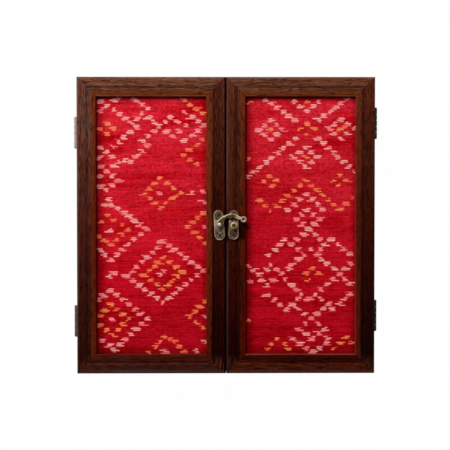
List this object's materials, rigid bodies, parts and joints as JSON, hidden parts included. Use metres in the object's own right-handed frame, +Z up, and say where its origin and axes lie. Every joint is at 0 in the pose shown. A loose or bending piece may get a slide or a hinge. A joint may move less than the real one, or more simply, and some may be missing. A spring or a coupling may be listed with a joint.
{
  "type": "double-lid storage box",
  "caption": "Shallow square wooden keepsake box with a pair of framed, cloth-panelled lids hinged at the outer sides and held at the middle by a swing hook and knob.",
  "frame": {"origin": "middle of the underside", "axes": "+Z up out of the lids, +X to the right across the pair of lids, +Y to the back"},
  "size_m": [0.2566, 0.249, 0.0759],
  "materials": {
    "lid_wood": "dark red-brown stain, satin, open dark pores",
    "body_wood": "dark red-brown stain, satin",
    "backing_board": "plain fibreboard",
    "ikat_cloth": "matte plain-weave cotton, red with pale and orange ikat dabs",
    "hinge_metal": "antiqued, dark with rubbed edges",
    "antique_brass": "antiqued, dark with rubbed edges",
    "knob_brass": "rubbed golden, dark in the dimple"
  },
  "bodies": {
    "box": {"front_wall": "body_wood", "back_wall": "body_wood", "left_wall": "body_wood", "right_wall": "body_wood", "base_panel": "body_wood", "left_back_hinge_body_leaf": "hinge_metal", "left_back_hinge_pin": "hinge_metal", "left_back_hinge_body_nail_1": "hinge_metal", "left_back_hinge_body_nail_2": "hinge_metal", "left_front_hinge_body_leaf": "hinge_metal", "left_front_hinge_pin": "hinge_metal", "left_front_hinge_body_nail_1": "hinge_metal", "left_front_hinge_body_nail_2": "hinge_metal", "right_back_hinge_body_leaf": "hinge_metal", "right_back_hinge_pin": "hinge_metal", "right_back_hinge_body_nail_1": "hinge_metal", "right_back_hinge_body_nail_2": "hinge_metal", "right_front_hinge_body_leaf": "hinge_metal", "right_front_hinge_pin": "hinge_metal", "right_front_hinge_body_nail_1": "hinge_metal", "right_front_hinge_body_nail_2": "hinge_metal"},
    "left_lid": {"left_back_hinge_lid_leaf": "hinge_metal", "left_back_hinge_lid_nail_1": "hinge_metal", "left_back_hinge_lid_nail_2": "hinge_metal", "left_front_hinge_lid_leaf": "hinge_metal", "left_front_hinge_lid_nail_1": "hinge_metal", "left_front_hinge_lid_nail_2": "hinge_metal", "left_lid_back_rail": "lid_wood", "left_lid_front_rail": "lid_wood", "left_lid_hinge_stile": "lid_wood", "left_lid_meeting_stile": "lid_wood", "left_lid_board": "backing_board", "left_lid_cloth": "ikat_cloth", "hook_plate": "antique_brass", "hook_rivet": "antique_brass", "hook_plate_upper_nail": "antique_brass", "hook_plate_lower_nail": "antique_brass"},
    "right_lid": {"right_back_hinge_lid_leaf": "hinge_metal", "right_back_hinge_lid_nail_1": "hinge_metal", "right_back_hinge_lid_nail_2": "hinge_metal", "right_front_hinge_lid_leaf": "hinge_metal", "right_front_hinge_lid_nail_1": "hinge_metal", "right_front_hinge_lid_nail_2": "hinge_metal", "right_lid_back_rail": "lid_wood", "right_lid_front_rail": "lid_wood", "right_lid_hinge_stile": "lid_wood", "right_lid_meeting_stile": "lid_wood", "right_lid_board": "backing_board", "right_lid_cloth": "ikat_cloth", "catch_plate": "antique_brass", "catch_plate_upper_nail": "antique_brass", "catch_plate_lower_nail": "antique_brass", "catch_post": "knob_brass"},
    "hook": {"hook_arm": "antique_brass"}
  },
  "joints": [
    {"name": "right_lid_hinge", "type": "hinge", "parent": "box", "child": "right_lid", "pos_m": [0.1268, 0, 0.05415], "axis": [0, 1, 0], "range_deg": [0, 180]},
    {"name": "left_lid_hinge", "type": "hinge", "parent": "box", "child": "left_lid", "pos_m": [-0.1268, 0, 0.05415], "axis": [0, -1, 0], "range_deg": [0, 180]},
    {"name": "hook_swing", "type": "hinge", "parent": "left_lid", "child": "hook", "pos_m": [-0.0052, 0.0006, 0.07225], "axis": [0, 0, 1], "range_deg": [-26, 150]}
  ],
  "couplings": [
    {"joint": "left_lid_hinge", "follows": "right_lid_hinge", "ratio": 1}
  ]
}
